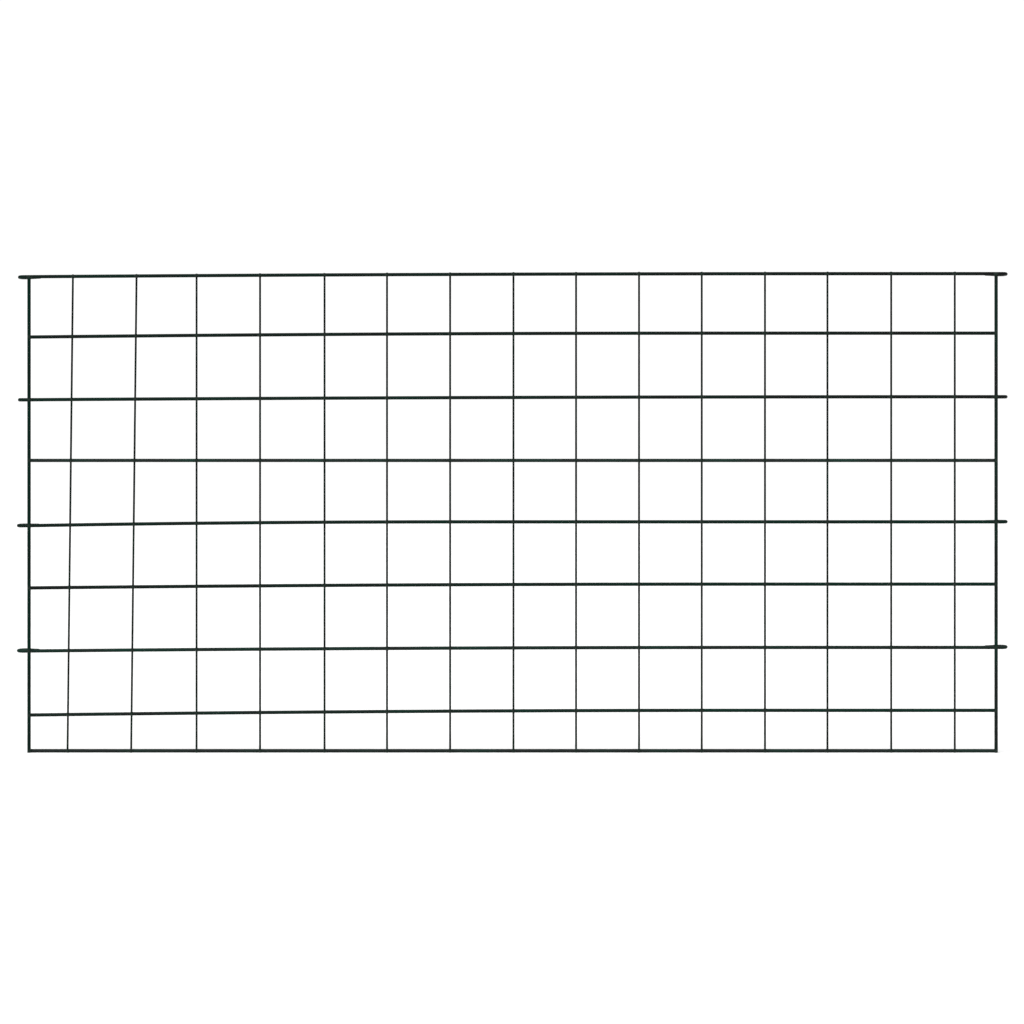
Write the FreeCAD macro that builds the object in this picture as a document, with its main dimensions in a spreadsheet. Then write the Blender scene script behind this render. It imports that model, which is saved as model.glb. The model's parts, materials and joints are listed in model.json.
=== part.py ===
import FreeCAD, Part
import math
import os

import Sketcher

# A welded wire fence panel that hangs on two ground rods by wire eyes.
#
# Nine line wires, fifteen thin stay wires and two heavier uprights are resistance welded into one
# flat grid. Line wires 1, 3, 5 and 7, counted from the top, run past the uprights and are bent
# back on themselves into teardrop eyes, which slide over a ground rod. Every stay and upright has
# a shallow saddle where it crosses a line wire, which is the contact face of the weld.
#
# Frame: the origin is the left rod's axis at the panel's base. +X runs along the panel to the
# right rod, +Y to the back, where the eyes are bent to, and +Z up. Units are millimetres.

# Driving dimensions: alias, value, what it is.
SIZES = [
    ("wire_diameter", 2.8, "line wires and uprights, coating included"),
    ("stay_diameter", 1.65, "stays, coating included"),
    ("weld_setdown", 0.2, "how deep a line wire is forged into each vertical"),
    ("rod_pitch", 773.1, "between the two ground rods, and so between the eyes"),
    ("left_inset", 4.1, "from the left rod's axis inwards to the upright beside it"),
    ("right_inset", 4.4, "from the right rod's axis inwards to the upright beside it"),
    ("first_stay", 36.4, "from the left rod's axis to the first stay, as set out"),
    ("stay_pitch", 50, "between neighbouring stays, as set out"),
    ("stay_lean", 4.3, "how far the top of a leaning stay is right of its foot"),
    ("stay_overhang", 0.15, "how far the stays stand above the top line wire"),
    ("upright_shortfall", 0.4, "how far the uprights end below the top of the top line wire"),
    ("eye_bore", 5.8, "inner diameter of an eye"),
    ("eye_stray", 0.8, "how far a straying eye is outside the left rod's axis"),
    ("tail_length", 12.5, "from a rod's axis inwards to the end of an eye's tail"),
    ("tail_gap", 0.15, "between the end of a tail and its own line wire"),
    ("plain_overlap", 0.7, "how far a plain line wire ends outside an upright's centre"),
    ("die_length", 8, "length of line wire used to forge one saddle"),
]

# The line wires from the top down: the height above the bottom one, where the wire starts to bow
# down to its left end, from the left rod's axis, and how far it has come down at that axis.
ROWS = {
    1: (377.5, 660, 2.45),
    2: (330.4, 550, 3.1),
    3: (280.1, 750, 2.4),
    4: (229.7, 0, 0),
    5: (181.1, 350, 3.1),
    6: (131.8, 560, 3.05),
    7: (81.7, 600, 2.85),
    8: (31.9, 575, 3.75),
    9: (0, 0, 0),
}
EYED_ROWS = (1, 3, 5, 7)
STRAYING_ROWS = (5, 7)
STRAIGHT_ROWS = (4, 9)
BOTTOM_ROW = 9

# The stays from the left: how far each is right of its even place.
STAY_SHIFTS = (0.2, 0.5, 0.1, 0.3, 1.3, 0.7, 0.6, 0.7, 0.2, 0, -0.4, -0.4, -1, -0.6, -0.3)
LEANING_STAYS = 2

# Depths: the line wires' centres are one eye radius in front of the rods.
EYE_RADIUS = "((Sizes.eye_bore + Sizes.wire_diameter) / 2)"
UPRIGHT_STEP = "(Sizes.wire_diameter - Sizes.weld_setdown)"
STAY_STEP = "((Sizes.wire_diameter + Sizes.stay_diameter) / 2 - Sizes.weld_setdown)"

# Sketcher's numbers for a path's elements, for an element's points, and for the sketch's axes.
LINE, ARC = 0, 1
START, END, CENTRE = 1, 2, 3
ORIGIN = (-1, 1)
X_AXIS, Y_AXIS = -1, -2

AROUND_X = FreeCAD.Vector(1, 0, 0)
AROUND_Y = FreeCAD.Vector(0, 1, 0)
AROUND_Z = FreeCAD.Vector(0, 0, 1)


def drop_at(row, x):
    """The formula for how far a line wire's bow has come down at the place x."""
    if row in STRAIGHT_ROWS:
        return "0"
    start = f"Sizes.row_{row}_bow_start"
    return f"(Sizes.row_{row}_bow_drop * pow(max(1 - {x} / {start}; 0); 2))"


def slope_at(row, x):
    """The formula for the angle of a line wire's bow at the place x."""
    if row in STRAIGHT_ROWS:
        return "0 deg"
    start = f"Sizes.row_{row}_bow_start"
    return f"atan(2 * Sizes.row_{row}_bow_drop / {start} * max(1 - {x} / {start}; 0))"


def row_height(row):
    """The formula for the height of a line wire's centre, where the wire is straight."""
    return f"(Sizes.wire_diameter / 2 + Sizes.row_{row}_height)"


def end_inset(row, side):
    """The formula for how far a line wire's run ends inside the rod's axis on one side.

    A plain wire ends behind the upright, and the bottom one level with the upright's outside."""
    if row in EYED_ROWS:
        strays = side == "left" and row in STRAYING_ROWS
        return "(-Sizes.eye_stray)" if strays else "0"
    past = "Sizes.wire_diameter / 2" if row == BOTTOM_ROW else "Sizes.plain_overlap"
    return f"(Sizes.{side}_inset - {past})"


def make_sheet(doc):
    """The spreadsheet of driving dimensions: one described and aliased cell each."""
    cells = list(SIZES)
    for row, (height, start, drop) in ROWS.items():
        cells.append((f"row_{row}_height", height, f"line wire {row} above the bottom one"))
        if row not in STRAIGHT_ROWS:
            cells.append((f"row_{row}_bow_start", start, f"where the bow of line wire {row} starts"))
            cells.append((f"row_{row}_bow_drop", drop, f"how far line wire {row} bows down"))
    for number, shift in enumerate(STAY_SHIFTS, start=1):
        cells.append((f"stay_{number}_shift", shift, f"stay {number} right of its even place"))
    sheet = doc.addObject("Spreadsheet::Sheet", "Sizes")
    for line, (alias, value, meaning) in enumerate(cells, start=1):
        sheet.set(f"A{line}", meaning)
        sheet.set(f"B{line}", str(value))
        sheet.setAlias(f"B{line}", alias)
    doc.recompute()


def bind(thing, **formulas):
    """Bind properties to formulas. Two underscores stand for the dots of a property's path."""
    for path, formula in formulas.items():
        thing.setExpression(path.replace("__", "."), formula)


def dimension(sketch, kind, points, value, formula):
    """Add a dimension between two points of a sketch, and bind it to a formula."""
    (first, second) = points
    index = sketch.addConstraint(Sketcher.Constraint(kind, *first, *second, value))
    bind(sketch, **{f"Constraints[{index}]": formula})


def add_sketch(body, name, plane_role):
    """An empty sketch on one of the body's own origin planes."""
    sketch = body.newObject("Sketcher::SketchObject", name)
    plane = next(p for p in body.Origin.OriginFeatures if p.Role == plane_role)
    sketch.AttachmentSupport = (plane, "")
    sketch.MapMode = "FlatFace"
    return sketch


def add_section(body, name):
    """The wire's round section, square to X."""
    section = add_sketch(body, name, "YZ_Plane")
    section.addGeometry(Part.Circle(FreeCAD.Vector(), AROUND_Z, 1.4))
    section.addConstraint(Sketcher.Constraint("Coincident", 0, CENTRE, *ORIGIN))
    index = section.addConstraint(Sketcher.Constraint("Diameter", 0, 2.8))
    bind(section, **{f"Constraints[{index}]": "Sizes.wire_diameter"})
    return section


def add_pipe(body, name, section, path):
    """Sweep the wire's section along a path of one line and one arc."""
    pipe = body.newObject("PartDesign::AdditivePipe", name)
    pipe.Profile = section
    pipe.Spine = (path, ["Edge1", "Edge2"])


def add_bow(body, row):
    """A line wire's long run: straight from its right end, then an arc down to its left end.

    The plain numbers are where the sketch's solver starts."""
    left_end, right_end = end_inset(row, "left"), end_inset(row, "right")
    length = 773
    _, run, drop = ROWS[row]
    radius = run * run / (2 * drop)
    path = add_sketch(body, f"{body.Name}_bow_path", "XZ_Plane")
    corner = FreeCAD.Vector(run, 0, 0)
    path.addGeometry(Part.LineSegment(FreeCAD.Vector(length, 0, 0), corner))
    circle = Part.Circle(FreeCAD.Vector(run, -radius, 0), AROUND_Z, radius)
    path.addGeometry(Part.ArcOfCircle(circle, math.pi / 2, math.pi / 2 + math.asin(run / radius)))
    path.addConstraint(Sketcher.Constraint("PointOnObject", LINE, START, X_AXIS))
    path.addConstraint(Sketcher.Constraint("Horizontal", LINE))
    path.addConstraint(Sketcher.Constraint("Tangent", LINE, END, ARC, START))
    right, corner, left = (LINE, START), (LINE, END), (ARC, END)
    dimension(path, "DistanceX", (ORIGIN, right), length, f"Sizes.rod_pitch - {right_end}")
    dimension(path, "DistanceX", (ORIGIN, corner), run, f"Sizes.row_{row}_bow_start")
    dimension(
        path, "DistanceX", (left, right), length, f"Sizes.rod_pitch - {right_end} - {left_end}"
    )
    dimension(path, "DistanceY", (left, ORIGIN), drop, drop_at(row, left_end))
    section = add_section(body, f"{body.Name}_bow_section")
    bind(section, AttachmentOffset__Base__z=f"Sizes.rod_pitch - {right_end}")
    add_pipe(body, f"{body.Name}_bow", section, path)


def add_eye(body, row, side):
    """The teardrop eye on one end of a line wire: a turn round the rod, then a straight tail
    that comes in again beside the wire. It lies in the plane of Y and the wire's own direction."""
    name = f"{body.Name}_{side}_eye"
    path = add_sketch(body, f"{name}_path", "XY_Plane")
    section = add_section(body, f"{name}_section")
    if side == "right":
        bind(path, AttachmentOffset__Base__x="Sizes.rod_pitch")
        bind(section, AttachmentOffset__Base__z="Sizes.rod_pitch")
    else:
        path.AttachmentOffset.Rotation = FreeCAD.Rotation(AROUND_Y, 180)
        section.AttachmentOffset.Rotation = FreeCAD.Rotation(AROUND_X, 1)
        end = end_inset(row, "left")
        drop, slope = drop_at(row, end), slope_at(row, end)
        bind(
            path,
            AttachmentOffset__Base__x=end,
            AttachmentOffset__Base__z=f"-{drop}",
            AttachmentOffset__Rotation__Angle=f"180 deg - {slope}",
        )
        bind(
            section,
            AttachmentOffset__Base__y=f"-{drop}",
            AttachmentOffset__Base__z=end,
            AttachmentOffset__Rotation__Angle=f"-{slope}",
        )
    radius, turn = 4.3, math.radians(116)
    centre = FreeCAD.Vector(0, radius, 0)
    tail_end = FreeCAD.Vector(-12.5, 2.95, 0)
    tail_root = centre + FreeCAD.Vector(math.cos(turn), math.sin(turn), 0) * radius
    path.addGeometry(Part.LineSegment(tail_end, tail_root))
    path.addGeometry(Part.ArcOfCircle(Part.Circle(centre, AROUND_Z, radius), -math.pi / 2, turn))
    path.addConstraint(Sketcher.Constraint("Coincident", ARC, START, *ORIGIN))
    path.addConstraint(Sketcher.Constraint("PointOnObject", ARC, CENTRE, Y_AXIS))
    path.addConstraint(Sketcher.Constraint("Tangent", LINE, END, ARC, END))
    index = path.addConstraint(Sketcher.Constraint("Radius", ARC, radius))
    bind(path, **{f"Constraints[{index}]": EYE_RADIUS})
    tail, gap = (LINE, START), "Sizes.wire_diameter + Sizes.tail_gap"
    dimension(path, "DistanceX", (tail, ORIGIN), -tail_end.x, "Sizes.tail_length")
    dimension(path, "DistanceY", (ORIGIN, tail), tail_end.y, gap)
    add_pipe(body, name, section, path)


def make_bowed_wire(doc, name, row):
    """A line wire that bows down to the left, with its eyes if its row has them."""
    body = doc.addObject("PartDesign::Body", name)
    add_bow(body, row)
    if row in EYED_ROWS:
        add_eye(body, row, "right")
        add_eye(body, row, "left")
    bind(body, Placement__Base__y=f"-{EYE_RADIUS}", Placement__Base__z=row_height(row))
    return body


def make_straight_wire(doc, name, row):
    """A straight and level line wire."""
    left_end, right_end = end_inset(row, "left"), end_inset(row, "right")
    wire = doc.addObject("Part::Cylinder", name)
    wire.Placement.Rotation = FreeCAD.Rotation(AROUND_Y, 90)
    bind(
        wire,
        Radius="Sizes.wire_diameter / 2",
        Height=f"Sizes.rod_pitch - {right_end} - {left_end}",
        Placement__Base__x=left_end,
        Placement__Base__y=f"-{EYE_RADIUS}",
        Placement__Base__z=row_height(row),
    )
    return wire


def make_line_wire(doc, row):
    """The line wire of one row, counted from the top."""
    if row == BOTTOM_ROW:
        name = "bottom_line_wire"
    else:
        name = f"{'eyed' if row in EYED_ROWS else 'plain'}_line_wire_{row}"
    make = make_straight_wire if row in STRAIGHT_ROWS else make_bowed_wire
    return make(doc, name, row)


def make_dies(doc, name, x):
    """A short length of every line wire at the place x, to forge one vertical's saddles."""
    lengths = []
    for row in ROWS:
        drop, slope = drop_at(row, x), slope_at(row, x)
        length = doc.addObject("Part::Cylinder", f"{name}_die_{row}")
        length.Placement.Rotation = FreeCAD.Rotation(AROUND_Y, 90)
        half = "Sizes.die_length / 2"
        bind(
            length,
            Radius="Sizes.wire_diameter / 2",
            Height="Sizes.die_length",
            Placement__Base__x=f"{x} - {half}",
            Placement__Base__y=f"-{EYE_RADIUS}",
            Placement__Base__z=f"{row_height(row)} - {drop} - tan({slope}) * {half}",
            Placement__Rotation__Angle=f"90 deg - {slope}",
        )
        lengths.append(length)
    dies = doc.addObject("Part::Compound", f"{name}_dies")
    dies.Links = lengths
    return dies


def make_vertical(doc, name, diameter, step, x, overhang, lean="0"):
    """A vertical in front of the line wires, from the panel's base up to the top line wire.

    It stands above that wire by its overhang, or ends below its top if that is negative. A
    leaning one is turned about the middle of its height, and x is the place of that middle."""
    height = f"({row_height(1)} - {drop_at(1, x)} + Sizes.wire_diameter / 2 + {overhang})"
    blank = doc.addObject("Part::Cylinder", f"{name}_blank")
    blank.Placement.Rotation = FreeCAD.Rotation(AROUND_Y, 1)
    bind(
        blank,
        Radius=f"{diameter} / 2",
        Height=height,
        Placement__Base__x=f"{x} - {lean} / 2",
        Placement__Base__y=f"-{EYE_RADIUS} - {step}",
        Placement__Rotation__Angle=f"asin({lean} / {height})",
    )
    vertical = doc.addObject("Part::Cut", name)
    vertical.Base = blank
    vertical.Tool = make_dies(doc, name, x)
    return vertical


def make_upright(doc, side):
    """One of the two heavy verticals, beside the rods."""
    x = "Sizes.left_inset" if side == "left" else "(Sizes.rod_pitch - Sizes.right_inset)"
    name, overhang = f"{side}_upright", "(-Sizes.upright_shortfall)"
    return make_vertical(doc, name, "Sizes.wire_diameter", UPRIGHT_STEP, x, overhang)


def make_stay(doc, number):
    """One of the thin verticals, counted from the left."""
    even = f"Sizes.first_stay + Sizes.stay_pitch * {number - 1}"
    x = f"({even} + Sizes.stay_{number}_shift)"
    lean = "Sizes.stay_lean" if number <= LEANING_STAYS else "0"
    name, overhang = f"stay_wire_{number:02d}", "Sizes.stay_overhang"
    return make_vertical(doc, name, "Sizes.stay_diameter", STAY_STEP, x, overhang, lean)


def check(doc, pieces):
    """Stop if an object failed, or if a piece isn't one valid solid."""
    for thing in doc.Objects:
        if "Invalid" in thing.State or "Error" in thing.State:
            raise RuntimeError(f"{thing.Label} failed: {thing.State}")
    for piece in pieces:
        shape = piece.Shape
        if shape.isNull() or not shape.isValid() or len(shape.Solids) != 1:
            raise RuntimeError(f"{piece.Label} isn't one valid solid")


def main():
    doc = FreeCAD.newDocument("wire_panel")
    make_sheet(doc)
    pieces = [make_line_wire(doc, row) for row in ROWS]
    pieces += [make_upright(doc, side) for side in ("left", "right")]
    pieces += [make_stay(doc, number) for number in range(1, len(STAY_SHIFTS) + 1)]
    doc.recompute()
    check(doc, pieces)
    os.makedirs("parts", exist_ok=True)
    for piece in pieces:
        piece.Shape.exportStep(f"parts/{piece.Label}.step")
        box = piece.Shape.optimalBoundingBox()
        low = f"{box.XMin:.2f}, {box.YMin:.2f}, {box.ZMin:.2f}"
        high = f"{box.XMax:.2f}, {box.YMax:.2f}, {box.ZMax:.2f}"
        print(f"{piece.Label}: {low} to {high} mm, {piece.Shape.Volume:.1f} mm3")


main()
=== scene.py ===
import json
import math
import random

import bpy
import numpy as np
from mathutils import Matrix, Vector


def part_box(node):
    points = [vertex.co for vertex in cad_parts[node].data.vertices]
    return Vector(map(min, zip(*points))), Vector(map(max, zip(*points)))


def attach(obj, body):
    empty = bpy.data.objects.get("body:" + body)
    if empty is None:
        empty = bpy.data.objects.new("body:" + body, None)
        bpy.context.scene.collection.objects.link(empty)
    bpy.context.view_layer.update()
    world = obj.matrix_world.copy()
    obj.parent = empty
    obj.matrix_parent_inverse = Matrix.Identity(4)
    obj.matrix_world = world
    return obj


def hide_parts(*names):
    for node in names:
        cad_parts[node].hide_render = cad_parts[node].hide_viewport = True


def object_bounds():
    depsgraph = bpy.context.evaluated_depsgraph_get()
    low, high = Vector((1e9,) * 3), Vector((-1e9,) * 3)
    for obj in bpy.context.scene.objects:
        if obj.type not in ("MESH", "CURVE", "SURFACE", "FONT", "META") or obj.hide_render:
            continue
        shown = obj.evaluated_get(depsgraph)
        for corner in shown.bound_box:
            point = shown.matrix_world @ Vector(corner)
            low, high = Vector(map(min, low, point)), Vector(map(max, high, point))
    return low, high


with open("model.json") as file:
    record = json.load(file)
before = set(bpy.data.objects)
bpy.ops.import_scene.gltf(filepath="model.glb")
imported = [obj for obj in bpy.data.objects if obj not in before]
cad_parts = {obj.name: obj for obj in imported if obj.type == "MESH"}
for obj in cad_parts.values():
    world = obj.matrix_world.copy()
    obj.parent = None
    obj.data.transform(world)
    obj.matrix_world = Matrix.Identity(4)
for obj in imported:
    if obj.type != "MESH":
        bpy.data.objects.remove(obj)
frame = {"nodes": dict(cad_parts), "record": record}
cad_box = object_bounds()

# A welded wire fence panel. Every CAD wire is replaced by one closed mesh: a round wire whose
# coating swells smoothly into the wires that it is welded to. Units are metres.

MM = 0.001
NODES = sorted(frame["nodes"])
LINE_NODES = [name for name in NODES if "line_wire" in name]
VERTICAL_NODES = [name for name in NODES if "line_wire" not in name]
EYED_NODES = [name for name in LINE_NODES if name.startswith("eyed")]

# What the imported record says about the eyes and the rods.
MOUNTS = {mount["name"]: mount for mount in frame["record"]["mounts"]}
OPENINGS = {o["name"]: o["box_m"] for o in frame["record"]["physics"]["openings"]}
EYE_BORE_RADIUS = MOUNTS["left_rod"]["dims"]["r_mm"] * MM

# Where each bowed line wire starts to come down to the left, and the eyes' tails, as in the CAD.
BOW_STARTS_MM = {1: 660, 2: 550, 3: 750, 5: 350, 6: 560, 7: 600, 8: 575}
TAIL_LENGTH = 12.5 * MM
TAIL_GAP = 0.15 * MM

# How far each eye is bent up (or down, if negative) at its back, by side and row.
EYE_TILTS_DEG = {"left": {1: -1, 3: 1.5, 5: 3, 7: 3.5}, "right": {1: -1, 3: 1, 5: 1.5, 7: 3.6}}

# How much of the wire behind it a weld on a vertical takes in, to each side, and how far a
# vertical's own piece is drawn in at its ends, in radii.
WELD_REACH = 12 * MM
PIECE_INSET = 0.75

# The coating's shape: how far the skin is inside the CAD's, the fillets at the welds, the flats that
# the electrodes pressed, and the cut ends.
COAT_SHRINK = 0.02 * MM
COAT_WAVE = 0.016 * MM
COAT_WAVELENGTHS = (11 * MM, 23 * MM, 61 * MM)
FILLET_SIZE = (1.05 * MM, 1.35 * MM)
LINE_FILLET_SHARE = 0.9
MAX_SWELL = 0.55 * MM
SWELL_ROUNDS = 16
TAIL_FILLET = 1.3 * MM
TAIL_WELD_LENGTH = 6 * MM
TAIL_WELD_INSET = 0.3 * MM
PRESS_DEPTH = (0.04 * MM, 0.09 * MM)
PRESS_LENGTH = 1.3 * MM
BOX_MARGIN = 0.005 * MM
END_ROUNDING = 0.32
END_SLANT_DEG = 7
END_SLANT_RADII = 3

# The coating's look. The coating pooled at a weld reaches the number of fillets set below from the
# other wire; there, and on the flats that the electrodes pressed, the coat is glossier and its colour
# is lightened as a painted highlight.
NEUTRAL_COAT = (0.0065, 0.0085, 0.0078, 1)
GREEN_COAT = (0.0010, 0.0195, 0.0120, 1)
# A painted highlight: the lighter colour given to the coating pooled at the welds and to the pressed
# flats.
PAINTED_WELD_HIGHLIGHT = (0.0170, 0.0270, 0.0215, 1)
WORN_COAT = (0.0200, 0.0340, 0.0280, 1)
COAT_IOR = 1.15
COAT_ROUGHNESS = (0.36, 0.46)
POOL_GLOSS = -0.08
POOL_AND_HIGHLIGHT_FILLETS = 1.6
PRESSED_POOL_AND_HIGHLIGHT = 0.85
WORN_LENGTH = 2.5 * MM
BROAD_SCALE, PEEL_SCALE, GRAIN_SCALE = 45.0, 1300.0, 5200.0
PEEL_DEPTH = 0.04 * MM

# The view: the width that it takes in at the line wires, the camera's sensor and lens in mm, and
# how far its middle is from the middle between the uprights.
VIEW_WIDTH = 810.4 * MM
SENSOR_WIDTH, LENS = 36, 120
VIEW_SHIFT_X = -0.46 * MM
VIEW_SHIFT_Z = 0.33 * MM

# The stage: a wide floor just below the panel, the light from the horizon and from overhead, and
# how bright the backdrop is.
FLOOR_REACH = 60.0
FLOOR_DROP = 0.05 * MM
FLOOR_TONES = (0.86, 0.90)
SKY_TONES = (0.10, 0.90)
BACKDROP_STRENGTH = 1.05

# How finely the wires are meshed.
LINE_SIDES = 28
UPRIGHT_SIDES = 28
STAY_SIDES = 20
COARSE_STEP = 6 * MM
FINE_STEP = 0.22 * MM
FINE_REACH = 3.2 * MM
SKIN_REACH = FINE_REACH + 2 * MM
END_STEPS = (0.0, 0.05, 0.14, 0.28, 0.46, 0.7, 1.0, 1.5, 2.2)
END_CLEARANCE = 1.2
TAIL_RUN_STEP = 0.5 * MM
TAIL_RUN_EXTRA = 2 * MM
TAIL_STEP = 0.3 * MM
TAIL_ROOT_GAP = 0.2 * MM
TURN_STEP_DEG = 5

# Each wire's coat: how green it looks at its left (or top) end and at its right end, from 0, near
# black, to 1, and how many times lighter it is than the plain coat.
LINE_COATS = {
    1: (0.8, 0.1, 0.75), 2: (0.5, 0.2, 0.7), 3: (0.8, 0.0, 0.9),
    4: (0.15, 0.15, 2.4), 5: (0.5, 0.9, 0.8), 6: (0.2, 1.0, 0.8),
    7: (0.5, 0.1, 1.6), 8: (0.2, 0.8, 1.15), 9: (0.0, 0.1, 2.2),
}
UPRIGHT_COATS = {"left_upright": (0.7, 0.8, 0.8), "right_upright": (0.15, 0.25, 1.4)}
STAY_COAT = (0.15, 0.15, 1.0)
GREEN_NOISE = 0.35
GREEN_WAVELENGTHS = (47 * MM, 83 * MM, 131 * MM)

rng = random.Random(7)


def box_of(name):
    """A CAD node's lowest and highest corners, as arrays."""
    low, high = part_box(name)
    return np.array(low), np.array(high)


# Sizes taken from the CAD's boxes. The bottom wire and stay 8 are straight, so they fill theirs.
bottom_low, bottom_high = box_of("bottom_line_wire")
stay_low, stay_high = box_of("stay_wire_08")
LINE_RADIUS = (bottom_high[2] - bottom_low[2]) / 2
LINE_Y = (bottom_low[1] + bottom_high[1]) / 2
STAY_RADIUS = (stay_high[0] - stay_low[0]) / 2
EYE_RADIUS = EYE_BORE_RADIUS + LINE_RADIUS
BOX_LOW = np.array(cad_box[0]) + BOX_MARGIN
BOX_HIGH = np.array(cad_box[1]) - BOX_MARGIN


def unit(v):
    """Rows of v, scaled to length 1."""
    return v / np.linalg.norm(v, axis=-1, keepdims=True)


class Weld:
    """Where another wire is welded on: a straight piece of it, its radius, and the fillet's size."""

    def __init__(self, start, end, radius, fillet, centre):
        self.start, self.end = np.array(start, float), np.array(end, float)
        self.radius, self.fillet = radius, fillet
        self.centre = np.array(centre, float)

    def gap(self, points):
        """The distance of points from the other wire's surface."""
        whole = self.end - self.start
        share = np.clip((points - self.start) @ whole / (whole @ whole), 0, 1)
        return np.linalg.norm(points - self.start - share[..., None] * whole, axis=-1) - self.radius


class Wire:
    """One wire: its centreline's points, its radius, and the wires welded to it."""

    def __init__(self, name, radius, points, side_axis, sides, coat):
        self.name = name
        self.radius = radius
        self.points = np.array(points)
        self.side_axis = np.array(side_axis, float)
        self.sides = sides
        self.welds = []
        self.tail_welds = []
        self.pressed = []
        self.left_green, self.right_green, self.lightness = coat


def row_of(name):
    """The row number of a line wire, from the top."""
    return 9 if name == "bottom_line_wire" else int(name.rsplit("_", 1)[1])


class Line:
    """The straight or bowed run of a line wire, from its CAD node's box."""

    def __init__(self, name):
        low, high = box_of(name)
        row = row_of(name)
        self.name = name
        self.eyed = name in EYED_NODES
        self.radius = LINE_RADIUS
        reach = (EYE_RADIUS + LINE_RADIUS) if self.eyed else 0.0
        self.left, self.right = low[0] + reach, high[0] - reach
        self.top = high[2] - self.radius
        self.bow_start = BOW_STARTS_MM.get(row, 0) * MM
        if self.eyed:
            left, right = OPENINGS[f"left_eye_{row}"], OPENINGS[f"right_eye_{row}"]
            self.drop = right[0][2] - left[0][2]
        else:
            self.drop = high[2] - low[2] - 2 * self.radius

    def height(self, x):
        """The centreline's height at x."""
        return self.top - self.drop * self.bow_share(x) ** 2

    def slope(self, x):
        """The centreline's slope at x."""
        if not self.bow_start:
            return 0.0
        return 2 * self.drop / (self.bow_start - self.left) * self.bow_share(x)

    def bow_share(self, x):
        """How much of the bow's length is to the right of x: 1 at the wire's left end."""
        if not self.bow_start:
            return 0.0 * x
        return np.maximum(self.bow_start - x, 0) / (self.bow_start - self.left)

    def piece_at(self, x):
        """The two ends of the wire's straightened piece round x."""
        places = [max(x - WELD_REACH, self.left), min(x + WELD_REACH, self.right)]
        return [(p, LINE_Y, self.height(x) + (p - x) * self.slope(x)) for p in places]


class Vertical:
    """A stay or an upright, from its CAD node's box. The first two stays lean."""

    def __init__(self, name):
        low, high = box_of(name)
        self.name = name
        self.upright = "upright" in name
        self.radius = (high[0] - low[0]) / 2 if self.upright else STAY_RADIUS
        self.y = low[1] + self.radius
        self.foot, self.top = max(low[2], 0.0), high[2]
        middle = (low[0] + high[0]) / 2
        lean = (high[0] - low[0]) - 2 * self.radius
        self.foot_x, self.top_x = middle - lean / 2, middle + lean / 2

    def place(self, z):
        """The centreline's x at the height z."""
        share = (z - self.foot) / (self.top - self.foot)
        return self.foot_x + (self.top_x - self.foot_x) * share

    def crossing(self, line):
        """Where the middle of a line wire passes behind the vertical, as x and z."""
        x = self.place(line.height(self.place(line.top)))
        return x, line.height(x)

    def piece(self):
        """The centreline's two ends, drawn in because a Weld's ends are round."""
        inset = self.radius * PIECE_INSET
        heights = (self.foot + inset, self.top - inset)
        return [(self.place(z), self.y, z) for z in heights]


def stations(start, end, centres):
    """Places from start to end: far apart where the wire is plain, close together round centres."""
    places = set(np.arange(start, end, COARSE_STEP))
    for centre in centres:
        fine = np.arange(centre - FINE_REACH, centre + FINE_REACH + FINE_STEP / 2, FINE_STEP)
        places = {p for p in places if abs(p - centre) > FINE_REACH + FINE_STEP}
        places |= {p for p in fine if start < p < end}
    return np.array(sorted(places | {start, end}))


def spread_ends(places, rounding):
    """Places with extra ones close to both ends, where the edges are rounded."""
    steps = np.array(END_STEPS) * rounding
    start, end = places[0], places[-1]
    clear = steps[-1] * END_CLEARANCE
    inner = places[(places > start + clear) & (places < end - clear)]
    return np.concatenate([start + steps, inner, (end - steps)[::-1]])


def eye_points(line, side):
    """The centreline of an eye, from the end of its tail round to where the run starts.

    The eye is tilted a little about the run. Returns the points and the tail's two ends."""
    local_tail = np.array([-TAIL_LENGTH, 2 * LINE_RADIUS + TAIL_GAP - EYE_RADIUS])
    distance = np.linalg.norm(local_tail)
    turn = math.atan2(local_tail[1], local_tail[0]) % (2 * math.pi) - math.acos(EYE_RADIUS / distance)
    root = EYE_RADIUS * np.array([math.cos(turn), math.sin(turn)])
    length = np.linalg.norm(root - local_tail)
    along = spread_ends(np.arange(0, length, TAIL_STEP), LINE_RADIUS * END_ROUNDING)
    along = along[along < length - TAIL_ROOT_GAP] / length
    tail = local_tail + (root - local_tail) * along[:, None]
    angles = np.arange(turn, -math.pi / 2, -math.radians(TURN_STEP_DEG))
    arc = EYE_RADIUS * np.stack([np.cos(angles), np.sin(angles)], axis=1)
    flat = np.concatenate([tail, arc])
    end = line.right if side == "right" else line.left
    outward = np.array([1.0, 0, line.slope(end)]) * (1 if side == "right" else -1)
    outward = unit(outward)
    tilt = math.radians(EYE_TILTS_DEG[side][row_of(line.name)])
    back = np.array([0, math.cos(tilt), math.sin(tilt)])
    run_end = np.array([end, LINE_Y, line.height(end)])
    points = run_end + flat[:, :1] * outward + (flat[:, 1:] + EYE_RADIUS) * back
    return points, (points[0], points[len(tail) - 1])


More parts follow.
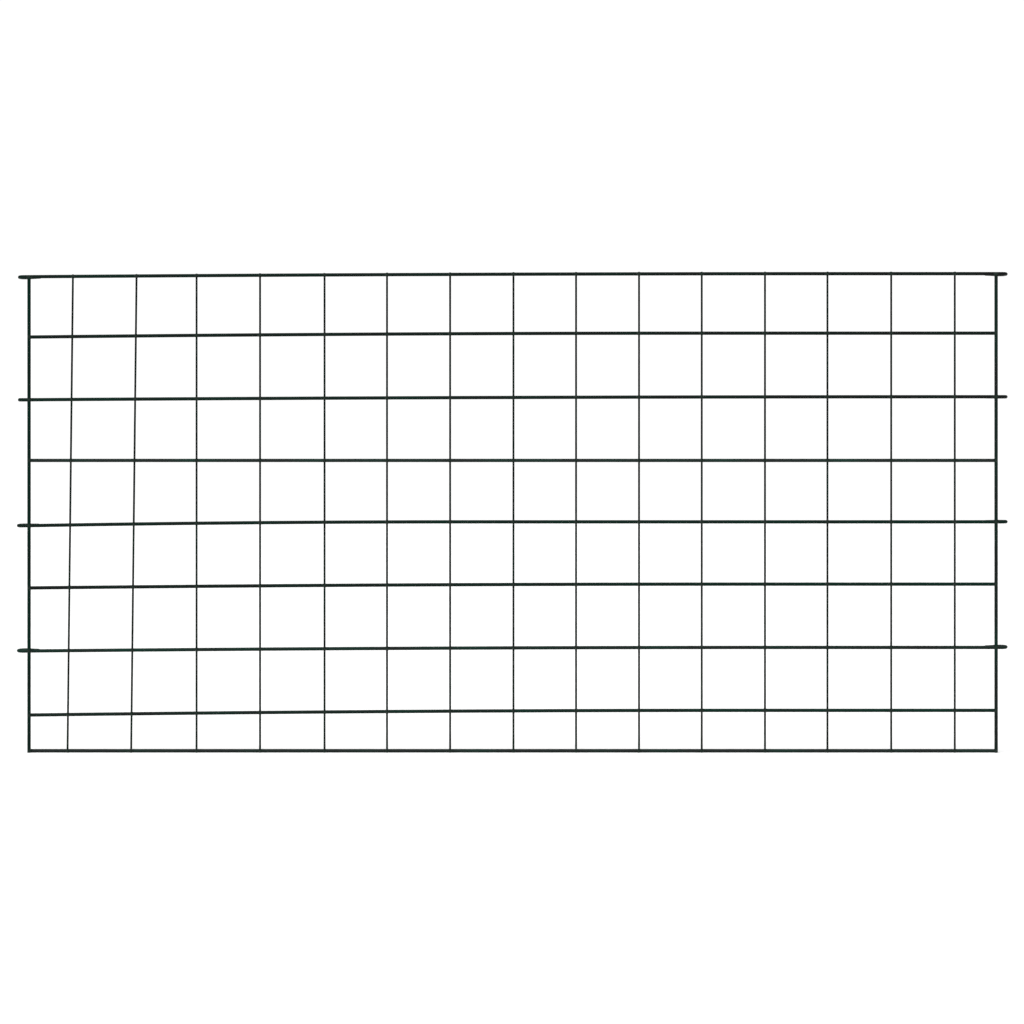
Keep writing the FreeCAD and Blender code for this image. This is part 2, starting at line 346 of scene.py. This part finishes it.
def line_wire(line, verticals):
    """The Wire of a line wire."""
    crossings = [(vertical, *vertical.crossing(line)) for vertical in verticals]
    places = stations(line.left, line.right, [x for _, x, _ in crossings])
    if line.eyed:
        tail_reach = [line.left + TAIL_LENGTH, line.right - TAIL_LENGTH]
        extra = np.concatenate([
            np.arange(line.left, tail_reach[0] + TAIL_RUN_EXTRA, TAIL_RUN_STEP),
            np.arange(tail_reach[1] - TAIL_RUN_EXTRA, line.right, TAIL_RUN_STEP),
        ])
        places = np.unique(np.concatenate([places, extra]))
        places = places[np.append(True, np.diff(places) > FINE_STEP / 2)]
    else:
        places = spread_ends(places, LINE_RADIUS * END_ROUNDING)
    run = np.stack([places, np.full_like(places, LINE_Y), line.height(places)], axis=1)
    if line.eyed:
        left, left_tail = eye_points(line, "left")
        right, right_tail = eye_points(line, "right")
        run = np.concatenate([left, run, right[::-1]])
    coat = LINE_COATS[row_of(line.name)]
    wire = Wire(line.name, line.radius, run, (0, 0, 1), LINE_SIDES, coat)
    if line.eyed:
        for tail in (left_tail, right_tail):
            wire.tail_welds.append(tail_weld(line, tail))
    for vertical, x, z in crossings:
        fillet = fillet_size(line, vertical) * LINE_FILLET_SHARE
        wire.welds.append(Weld(*vertical.piece(), vertical.radius, fillet, (x, vertical.y, z)))
    return wire


def tail_weld(line, tail):
    """The two Welds between a tail's last part and the run beside it: one for each one's skin."""
    tip, root = tail
    inner = tip + unit(root - tip) * (LINE_RADIUS + TAIL_WELD_INSET)
    outer = tip + unit(root - tip) * TAIL_WELD_LENGTH
    run = [(p[0], LINE_Y, line.height(p[0])) for p in (inner, outer)]
    middle = (inner + outer) / 2
    on_tail = Weld(*run, LINE_RADIUS, TAIL_FILLET, middle)
    on_run = Weld(inner, outer, LINE_RADIUS, TAIL_FILLET, (middle[0], LINE_Y, run[0][2]))
    return on_tail, on_run


def vertical_wire(vertical, lines):
    """The Wire of a stay or an upright."""
    crossings = [(line, *vertical.crossing(line)) for line in lines]
    places = stations(vertical.foot, vertical.top, [z for _, _, z in crossings])
    places = spread_ends(places, vertical.radius * END_ROUNDING)
    run = np.stack([vertical.place(places), np.full_like(places, vertical.y), places], axis=1)
    sides = UPRIGHT_SIDES if vertical.upright else STAY_SIDES
    coat = UPRIGHT_COATS.get(vertical.name, STAY_COAT)
    wire = Wire(vertical.name, vertical.radius, run, (0, -1, 0), sides, coat)
    for line, x, z in crossings:
        fillet = fillet_size(line, vertical)
        wire.welds.append(Weld(*line.piece_at(x), line.radius, fillet, (x, LINE_Y, z)))
        wire.pressed.append((z, rng.uniform(*PRESS_DEPTH)))
    return wire


def fillet_size(line, vertical):
    """The fillet size of the weld between two wires."""
    return random.Random(f"{line.name} {vertical.name}").uniform(*FILLET_SIZE)


def swell(points, normals, weld):
    """How far points on a wire's surface move out onto its smooth union with a welded wire."""
    low = np.zeros(len(points))
    high = np.full(len(points), MAX_SWELL)
    for _ in range(SWELL_ROUNDS):
        out = (low + high) / 2
        other = weld.gap(points + normals * out[:, None])
        blend = np.maximum(weld.fillet - np.abs(out - other), 0) ** 2 / (4 * weld.fillet)
        inside = np.minimum(out, other) - blend < 0
        low, high = np.where(inside, out, low), np.where(inside, high, out)
    return (low + high) / 2


def end_profile(from_end, radius):
    """The share of the radius that is left at a distance from a cut end with a rounded edge."""
    rounding = radius * END_ROUNDING
    inset = np.clip(rounding - from_end, 0, rounding)
    return 1 - (rounding - np.sqrt(rounding**2 - inset**2)) / radius


def coat_waves(lengths, angles):
    """The slow unevenness of the coating's thickness, round and along the wire."""
    wave = np.zeros((len(lengths), len(angles)))
    for wavelength in COAT_WAVELENGTHS:
        turns = rng.choice((1, 2, 3))
        phase, twist = rng.uniform(0, math.tau), rng.uniform(0, math.tau)
        along = np.sin(lengths[:, None] * math.tau / wavelength + phase)
        wave += along * np.cos(angles[None] * turns + twist) / len(COAT_WAVELENGTHS)
    return wave * COAT_WAVE


def press(wire, surface, pool):
    """Flatten the front of a vertical a little where an electrode pressed on it at each weld, and give
    the flat a painted highlight and more gloss.
    """
    for z, depth in wire.pressed:
        fade = np.exp(-(((wire.points[:, 2] - z) / PRESS_LENGTH) ** 2))
        limit = wire.points[:, 1] - wire.radius + depth * fade
        surface[..., 1] = np.maximum(surface[..., 1], limit[:, None])
        # The pressed flat gets the same mask as the pooled coating: a painted highlight in its colour,
        # and more gloss.
        pool[:] = np.maximum(pool, PRESSED_POOL_AND_HIGHLIGHT * fade[:, None])


def slant_ends(surface, tangents, lengths, angles, radius):
    """Turn both cut ends a little out of square, by lengthening the wire's last part."""
    for end, sign in ((0, 1), (-1, -1)):
        slant = math.tan(math.radians(rng.uniform(0, END_SLANT_DEG)))
        towards = rng.uniform(0, math.tau)
        far = lengths if end == 0 else lengths[-1] - lengths
        fade = np.clip(1 - far / (END_SLANT_RADII * radius), 0, 1)[:, None]
        shift = slant * radius * (1 + np.cos(angles - towards))[None] * fade
        surface += sign * tangents[end] * shift[..., None]


def green_shades(wire, lengths):
    """How green a wire's coat is at each ring: from one end's value to the other's, and uneven."""
    share = lengths / lengths[-1]
    shades = wire.left_green + (wire.right_green - wire.left_green) * share
    for wavelength in GREEN_WAVELENGTHS:
        wave = np.sin(lengths * math.tau / wavelength + rng.uniform(0, math.tau))
        shades = shades + GREEN_NOISE / len(GREEN_WAVELENGTHS) * wave
    return np.clip(shades, 0, 1)


def build(wire):
    """The closed mesh of a wire, with its welds' fillets and its rounded ends."""
    points = wire.points
    tangents = unit(np.gradient(points, axis=0))
    first = unit(wire.side_axis - (tangents @ wire.side_axis)[:, None] * tangents)
    second = np.cross(tangents, first)
    lengths = np.concatenate([[0], np.cumsum(np.linalg.norm(np.diff(points, axis=0), axis=1))])
    from_end = np.minimum(lengths, lengths[-1] - lengths)
    angles = np.arange(wire.sides) * math.tau / wire.sides
    normals = (
        first[:, None] * np.cos(angles)[None, :, None]
        + second[:, None] * np.sin(angles)[None, :, None]
    )
    radii = wire.radius * end_profile(from_end, wire.radius)[:, None]
    radii = radii - COAT_SHRINK + coat_waves(lengths, angles)
    surface = points[:, None] + normals * radii[..., None]
    # How much painted highlight, and how much gloss, each point gets from the welds' pooled coating and
    # the pressed flats.
    pool = np.zeros(surface.shape[:2])

    def weld_on(weld, near):
        """Move the skin near a weld out onto its fillet, and note how close it is, for the painted
        highlight and the gloss of the weld's pooled coating.
        """
        skin, out = surface[near].reshape(-1, 3), normals[near].reshape(-1, 3)
        moved = swell(skin, out, weld).reshape(-1, wire.sides)
        closeness = np.clip(1 - weld.gap(skin) / (POOL_AND_HIGHLIGHT_FILLETS * weld.fillet), 0, 1)
        surface[near] += normals[near] * moved[..., None]
        pool[near] = np.maximum(pool[near], closeness.reshape(-1, wire.sides))

    for weld in wire.welds:
        distance = np.linalg.norm((points - weld.centre)[:, [0, 2]], axis=1)
        weld_on(weld, (distance < SKIN_REACH) & (points[:, 1] < LINE_Y + LINE_RADIUS))
    for on_tail, on_run in wire.tail_welds:
        near = np.abs(points[:, 0] - on_tail.centre[0]) < TAIL_WELD_LENGTH
        behind = points[:, 1] > LINE_Y + LINE_RADIUS
        weld_on(on_tail, near & behind)
        weld_on(on_run, near & ~behind)
    press(wire, surface, pool)
    slant_ends(surface, tangents, lengths, angles, wire.radius)
    surface = np.clip(surface, BOX_LOW, BOX_HIGH)
    tip = np.repeat(np.clip(1 - from_end / WORN_LENGTH, 0, 1)[:, None], wire.sides, axis=1)
    green = np.repeat(green_shades(wire, lengths)[:, None], wire.sides, axis=1)
    lightness = np.full_like(pool, wire.lightness)
    layers = {"pool": pool, "tip": tip, "green": green, "lightness": lightness}
    return mesh_from_rings(wire, surface, layers)


def mesh_from_rings(wire, surface, layers):
    """A closed mesh from rings of points, with a capped end at each side.

    layers are values for the points of the rings, which the coat's material reads."""
    rings, sides = surface.shape[:2]
    middles = surface[[0, -1]].mean(axis=1)
    vertices = np.concatenate([surface.reshape(-1, 3), middles])
    ring, side = np.meshgrid(np.arange(rings - 1), np.arange(sides), indexing="ij")
    after = (side + 1) % sides
    here, there = ring * sides, (ring + 1) * sides
    corners = [here + side, here + after, there + after, there + side]
    quads = np.stack(corners, axis=-1).reshape(-1, 4)
    first, last = rings * sides, rings * sides + 1
    start = (rings - 1) * sides
    caps = [(first, (i + 1) % sides, i) for i in range(sides)]
    caps += [(last, start + i, start + (i + 1) % sides) for i in range(sides)]
    mesh = bpy.data.meshes.new(wire.name + "_coated")
    mesh.from_pydata(vertices.tolist(), [], quads.tolist() + caps)
    for label, values in layers.items():
        layer = mesh.attributes.new(label, "FLOAT", "POINT")
        ends = values[[0, -1]].mean(axis=1)
        layer.data.foreach_set("value", np.append(values.ravel(), ends))
    mesh.shade_smooth()
    mesh.validate()
    return mesh


def add_piece(wire, material):
    """The visible piece that stands for a CAD wire."""
    piece = bpy.data.objects.new(wire.name + "_coated", build(wire))
    bpy.context.scene.collection.objects.link(piece)
    piece.data.materials.append(material)
    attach(piece, "root")
    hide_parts(wire.name)
    return piece


class Shader:
    """A short way to write a node tree."""

    def __init__(self, tree):
        self.tree = tree
        tree.nodes.clear()

    def add(self, kind, values=None, **settings):
        """A new node. values sets or links its inputs by name."""
        node = self.tree.nodes.new(kind)
        for key, value in settings.items():
            setattr(node, key, value)
        for key, value in (values or {}).items():
            if isinstance(value, bpy.types.NodeSocket):
                self.tree.links.new(value, node.inputs[key])
            else:
                node.inputs[key].default_value = value
        return node


def coat_material():
    """Near-black green coating with orange peel, glossier and with a painted highlight at the welds,
    and worn at the cut ends.
    """
    material = bpy.data.materials.new("green_wire_coating")
    material.use_nodes = True
    s = Shader(material.node_tree)
    place = s.add("ShaderNodeTexCoord").outputs["Object"]
    pool, tip, green, lightness = (
        s.add("ShaderNodeAttribute", attribute_name=layer).outputs["Fac"]
        for layer in ("pool", "tip", "green", "lightness")
    )
    broad = noise(s, place, BROAD_SCALE, 3.0)
    peel = noise(s, place, PEEL_SCALE, 2.0)
    grain = noise(s, place, GRAIN_SCALE, 1.0)
    coat = s.add("ShaderNodeMix", data_type="RGBA")
    set_mix(s, coat, green, NEUTRAL_COAT, GREEN_COAT)
    plain = s.add("ShaderNodeVectorMath", {0: coat.outputs[2], "Scale": lightness}, operation="SCALE")
    # The welds' pooled coating and the pressed flats are lightened towards a painted highlight.
    highlighted = s.add("ShaderNodeMix", data_type="RGBA")
    set_mix(s, highlighted, pool, plain.outputs[0], PAINTED_WELD_HIGHLIGHT)
    worn = s.add("ShaderNodeMix", data_type="RGBA")
    speck = s.add("ShaderNodeMath", {0: tip, 1: grain}, operation="MULTIPLY").outputs[0]
    set_mix(s, worn, speck, highlighted.outputs[2], WORN_COAT)
    smoothest, roughest = COAT_ROUGHNESS
    spread = {"Value": broad, "To Min": smoothest, "To Max": roughest}
    rough = s.add("ShaderNodeMapRange", spread).outputs[0]
    pooled_gloss = {0: pool, 1: POOL_GLOSS, 2: rough}
    gloss = s.add("ShaderNodeMath", pooled_gloss, operation="MULTIPLY_ADD").outputs[0]
    height = s.add("ShaderNodeMath", {0: grain, 1: 0.25, 2: peel}, operation="MULTIPLY_ADD").outputs[0]
    bump = s.add("ShaderNodeBump", {"Height": height, "Strength": 0.3, "Distance": PEEL_DEPTH})
    shader = s.add(
        "ShaderNodeBsdfPrincipled",
        {"Base Color": worn.outputs[2], "Roughness": gloss, "Normal": bump.outputs[0], "IOR": COAT_IOR},
    )
    s.add("ShaderNodeOutputMaterial", {"Surface": shader.outputs[0]})
    return material


def noise(shader, place, scale, detail):
    """The value of a noise texture."""
    values = {"Vector": place, "Scale": scale, "Detail": detail}
    return shader.add("ShaderNodeTexNoise", values).outputs["Fac"]


def set_mix(shader, node, factor, a, b):
    """Fill a colour Mix node's inputs. They share names, so they are taken by number."""
    for number, value in ((0, factor), (6, a), (7, b)):
        if isinstance(value, bpy.types.NodeSocket):
            shader.tree.links.new(value, node.inputs[number])
        else:
            node.inputs[number].default_value = value


def add_floor():
    """The pale floor, part of the stage."""
    mesh = bpy.data.meshes.new("floor")
    signs = [(-1, -1), (1, -1), (1, 1), (-1, 1)]
    corners = [(x * FLOOR_REACH, y * FLOOR_REACH, -FLOOR_DROP) for x, y in signs]
    mesh.from_pydata(corners, [], [(0, 1, 2, 3)])
    floor = bpy.data.objects.new("floor", mesh)
    bpy.context.scene.collection.objects.link(floor)
    material = bpy.data.materials.new("pale_floor")
    material.use_nodes = True
    s = Shader(material.node_tree)
    place = s.add("ShaderNodeTexCoord").outputs["Object"]
    tone = s.add("ShaderNodeValToRGB", {"Fac": noise(s, place, 6.0, 4.0)})
    set_ramp(tone, FLOOR_TONES)
    shader = s.add("ShaderNodeBsdfPrincipled", {"Base Color": tone.outputs["Color"], "Roughness": 0.9})
    s.add("ShaderNodeOutputMaterial", {"Surface": shader.outputs[0]})
    mesh.materials.append(material)


def set_ramp(ramp, tones):
    """Let a colour ramp go from one grey to another."""
    for element, tone in zip(ramp.color_ramp.elements, tones):
        element.color = (tone, tone, tone, 1)


def add_world():
    """White where the camera looks past the object. As light, it is brightest overhead."""
    world = bpy.data.worlds.new("studio")
    bpy.context.scene.world = world
    world.use_nodes = True
    s = Shader(world.node_tree)
    direction = s.add("ShaderNodeTexCoord").outputs["Generated"]
    height = s.add("ShaderNodeSeparateXYZ", {"Vector": direction}).outputs["Z"]
    ramp = s.add("ShaderNodeValToRGB", {"Fac": height})
    set_ramp(ramp, SKY_TONES)
    light = s.add("ShaderNodeBackground", {"Color": ramp.outputs["Color"], "Strength": 1.0})
    seen = s.add("ShaderNodeBackground", {"Color": (1, 1, 1, 1), "Strength": BACKDROP_STRENGTH})
    path = s.add("ShaderNodeLightPath").outputs["Is Camera Ray"]
    mix = s.add("ShaderNodeMixShader", {0: path, 1: light.outputs[0], 2: seen.outputs[0]})
    s.add("ShaderNodeOutputWorld", {"Surface": mix.outputs[0]})


def add_sun(name, strength, angle, azimuth, elevation):
    """A very soft distant lamp, like a large studio screen. Azimuth 0 is in front."""
    data = bpy.data.lights.new(name, "SUN")
    data.energy, data.angle = strength, math.radians(angle)
    lamp = bpy.data.objects.new(name, data)
    lamp.rotation_euler = (math.radians(90 - elevation), 0, math.radians(azimuth))
    bpy.context.scene.collection.objects.link(lamp)


def add_camera():
    """Square to the panel's front, level with its middle."""
    data = bpy.data.cameras.new("camera")
    data.sensor_width, data.lens = SENSOR_WIDTH, LENS
    distance = VIEW_WIDTH * LENS / SENSOR_WIDTH
    camera = bpy.data.objects.new("camera", data)
    middle = (box_of("left_upright")[0] + box_of("right_upright")[1]) / 2
    camera.location = (middle[0] + VIEW_SHIFT_X, LINE_Y - distance, middle[2] + VIEW_SHIFT_Z)
    camera.rotation_euler = (math.pi / 2, 0, 0)
    data.clip_start, data.clip_end = 0.01, 200
    bpy.context.scene.collection.objects.link(camera)
    bpy.context.scene.camera = camera


def main():
    """Build the visible wires and the stage."""
    lines = [Line(name) for name in LINE_NODES]
    verticals = [Vertical(name) for name in VERTICAL_NODES]
    material = coat_material()
    for line in lines:
        add_piece(line_wire(line, verticals), material)
    for vertical in verticals:
        add_piece(vertical_wire(vertical, lines), material)
    add_floor()
    add_world()
    add_sun("key_screen", strength=2.6, angle=50, azimuth=-25, elevation=60)
    add_camera()
    bpy.context.scene.view_settings.view_transform = "Standard"


main()
